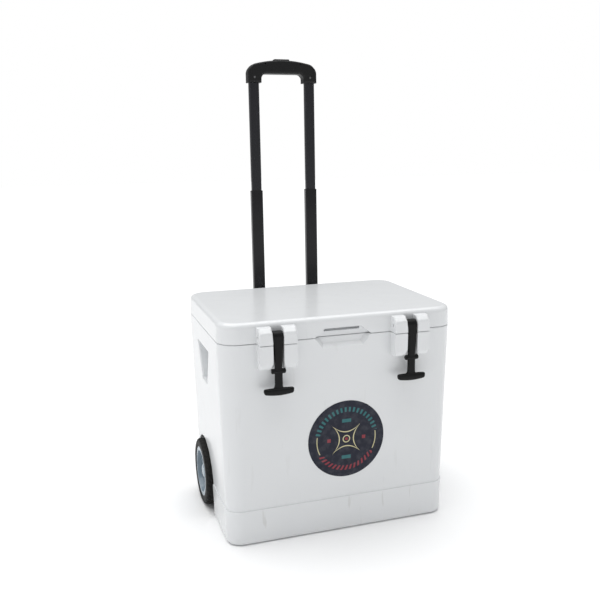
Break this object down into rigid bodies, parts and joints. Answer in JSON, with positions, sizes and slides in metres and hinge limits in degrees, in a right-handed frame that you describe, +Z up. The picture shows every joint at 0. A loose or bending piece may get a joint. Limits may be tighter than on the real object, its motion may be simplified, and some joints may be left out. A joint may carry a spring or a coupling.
{
  "type": "cooler on wheels",
  "caption": "Hard-sided insulated cool box with rubber T-latches, two wheels and a two-stage telescopic pull handle.",
  "frame": {"origin": "on the floor, at the centre of the body's outline", "axes": "+Z up; -Y is the front, with the latches; +X is to the right seen from the front; the handle and the wheels are towards +Y"},
  "size_m": [0.5117, 0.4431, 0.9914],
  "materials": {
    "white_shell": "satin",
    "white_liner": "satin",
    "insulating_foam": "matte",
    "printed_badge": "satin",
    "soft_seal": "matte",
    "latch_rubber": "matte",
    "steel_pins": "satin",
    "steel_screws": "satin",
    "hinge_metal": "satin",
    "tyre_rubber": "matte",
    "hub_plastic": "satin",
    "bush_plastic": "satin",
    "tube_black": "gloss",
    "fitting_plastic": "satin",
    "grip_plastic": "matte",
    "drain_plastic": "satin"
  },
  "bodies": {
    "cooler_body": {"tub_shell": "white_shell", "tub_liner": "white_liner", "tub_foam": "insulating_foam", "front_badge": "printed_badge", "hinge_tub_screws": "steel_screws", "axle": "steel_pins", "axle_sleeve": "bush_plastic", "axle_nuts": "steel_screws", "handle_upper_bracket": "fitting_plastic", "handle_lower_bracket": "fitting_plastic", "bracket_screws": "steel_screws", "drain_fitting": "drain_plastic", "left_hinge_tub_leaf": "hinge_metal", "left_hinge_pin": "steel_pins", "left_outer_tube": "tube_black", "left_outer_collar": "fitting_plastic", "right_hinge_tub_leaf": "hinge_metal", "right_hinge_pin": "steel_pins", "right_outer_tube": "tube_black", "right_outer_collar": "fitting_plastic"},
    "lid": {"lid_shell": "white_shell", "lid_liner": "white_liner", "lid_foam": "insulating_foam", "lid_gasket": "soft_seal", "hinge_lid_screws": "steel_screws", "left_hinge_lid_leaf": "hinge_metal", "left_latch_pin": "steel_pins", "right_hinge_lid_leaf": "hinge_metal", "right_latch_pin": "steel_pins"},
    "left_latch": {"left_latch_strap": "latch_rubber"},
    "right_latch": {"right_latch_strap": "latch_rubber"},
    "left_wheel": {"left_tyre": "tyre_rubber", "left_hub": "hub_plastic", "left_bush": "bush_plastic", "left_hub_cap": "hub_plastic"},
    "right_wheel": {"right_tyre": "tyre_rubber", "right_hub": "hub_plastic", "right_bush": "bush_plastic", "right_hub_cap": "hub_plastic"},
    "handle_middle": {"left_middle_tube": "tube_black", "left_middle_bush": "fitting_plastic", "left_middle_plug": "fitting_plastic", "right_middle_tube": "tube_black", "right_middle_bush": "fitting_plastic", "right_middle_plug": "fitting_plastic"},
    "handle_grip": {"left_inner_tube": "tube_black", "left_inner_plug": "fitting_plastic", "right_inner_tube": "tube_black", "right_inner_plug": "fitting_plastic", "grip_front_shell": "grip_plastic", "grip_rear_shell": "grip_plastic", "grip_socket_screws": "steel_screws", "grip_bar_screws": "steel_screws", "button_spring": "steel_pins"},
    "button": {"release_button": "grip_plastic", "push_rods": "fitting_plastic"},
    "middle_lock": {"middle_lock_pins": "steel_pins"},
    "inner_lock": {"inner_lock_pins": "steel_pins"},
    "drain_cap": {"drain_plug": "drain_plastic", "drain_gasket": "soft_seal"}
  },
  "joints": [
    {"name": "lid_hinge", "type": "hinge", "parent": "cooler_body", "child": "lid", "pos_m": [0, 0.181, 0.452], "axis": [-1, 0, 0], "range_deg": [0, 90], "deforming": ["left_latch_strap", "right_latch_strap"]},
    {"name": "left_latch_swing", "type": "hinge", "parent": "lid", "child": "left_latch", "pos_m": [-0.141, -0.1875, 0.4395], "axis": [-1, 0, 0], "range_deg": [0, 130]},
    {"name": "right_latch_swing", "type": "hinge", "parent": "lid", "child": "right_latch", "pos_m": [0.141, -0.1875, 0.4395], "axis": [-1, 0, 0], "range_deg": [0, 130]},
    {"name": "left_wheel_spin", "type": "hinge", "parent": "cooler_body", "child": "left_wheel", "pos_m": [-0.237, 0.06, 0.074], "axis": [1, 0, 0], "continuous": true},
    {"name": "right_wheel_spin", "type": "hinge", "parent": "cooler_body", "child": "right_wheel", "pos_m": [0.237, 0.06, 0.074], "axis": [1, 0, 0], "continuous": true},
    {"name": "lower_stage_slide", "type": "slide", "parent": "cooler_body", "child": "handle_middle", "axis": [0, 0.0234, 0.9997], "range_m": [-0.245, 0]},
    {"name": "upper_stage_slide", "type": "slide", "parent": "handle_middle", "child": "handle_grip", "axis": [0, 0.0234, 0.9997], "range_m": [-0.241, 0]},
    {"name": "button_press", "type": "slide", "parent": "handle_grip", "child": "button", "axis": [0, -0.0234, -0.9997], "range_m": [0, 0.004], "stiffness_N_per_m": 500, "springref_m": -0.001, "deforming": ["button_spring"]},
    {"name": "inner_lock_draw", "type": "slide", "parent": "handle_grip", "child": "inner_lock", "axis": [0, -0.9997, 0.0234], "range_m": [0, 0.0025]},
    {"name": "middle_lock_draw", "type": "slide", "parent": "handle_middle", "child": "middle_lock", "axis": [0, -0.9997, 0.0234], "range_m": [0, 0.0025]},
    {"name": "drain_plug_turn", "type": "hinge", "parent": "cooler_body", "child": "drain_cap", "pos_m": [0.24275, -0.092, 0.114], "axis": [1, 0, 0], "continuous": true}
  ],
  "couplings": [
    {"joint": "inner_lock_draw", "follows": "button_press", "ratio": 0.625},
    {"joint": "middle_lock_draw", "follows": "button_press", "ratio": 0.625}
  ]
}
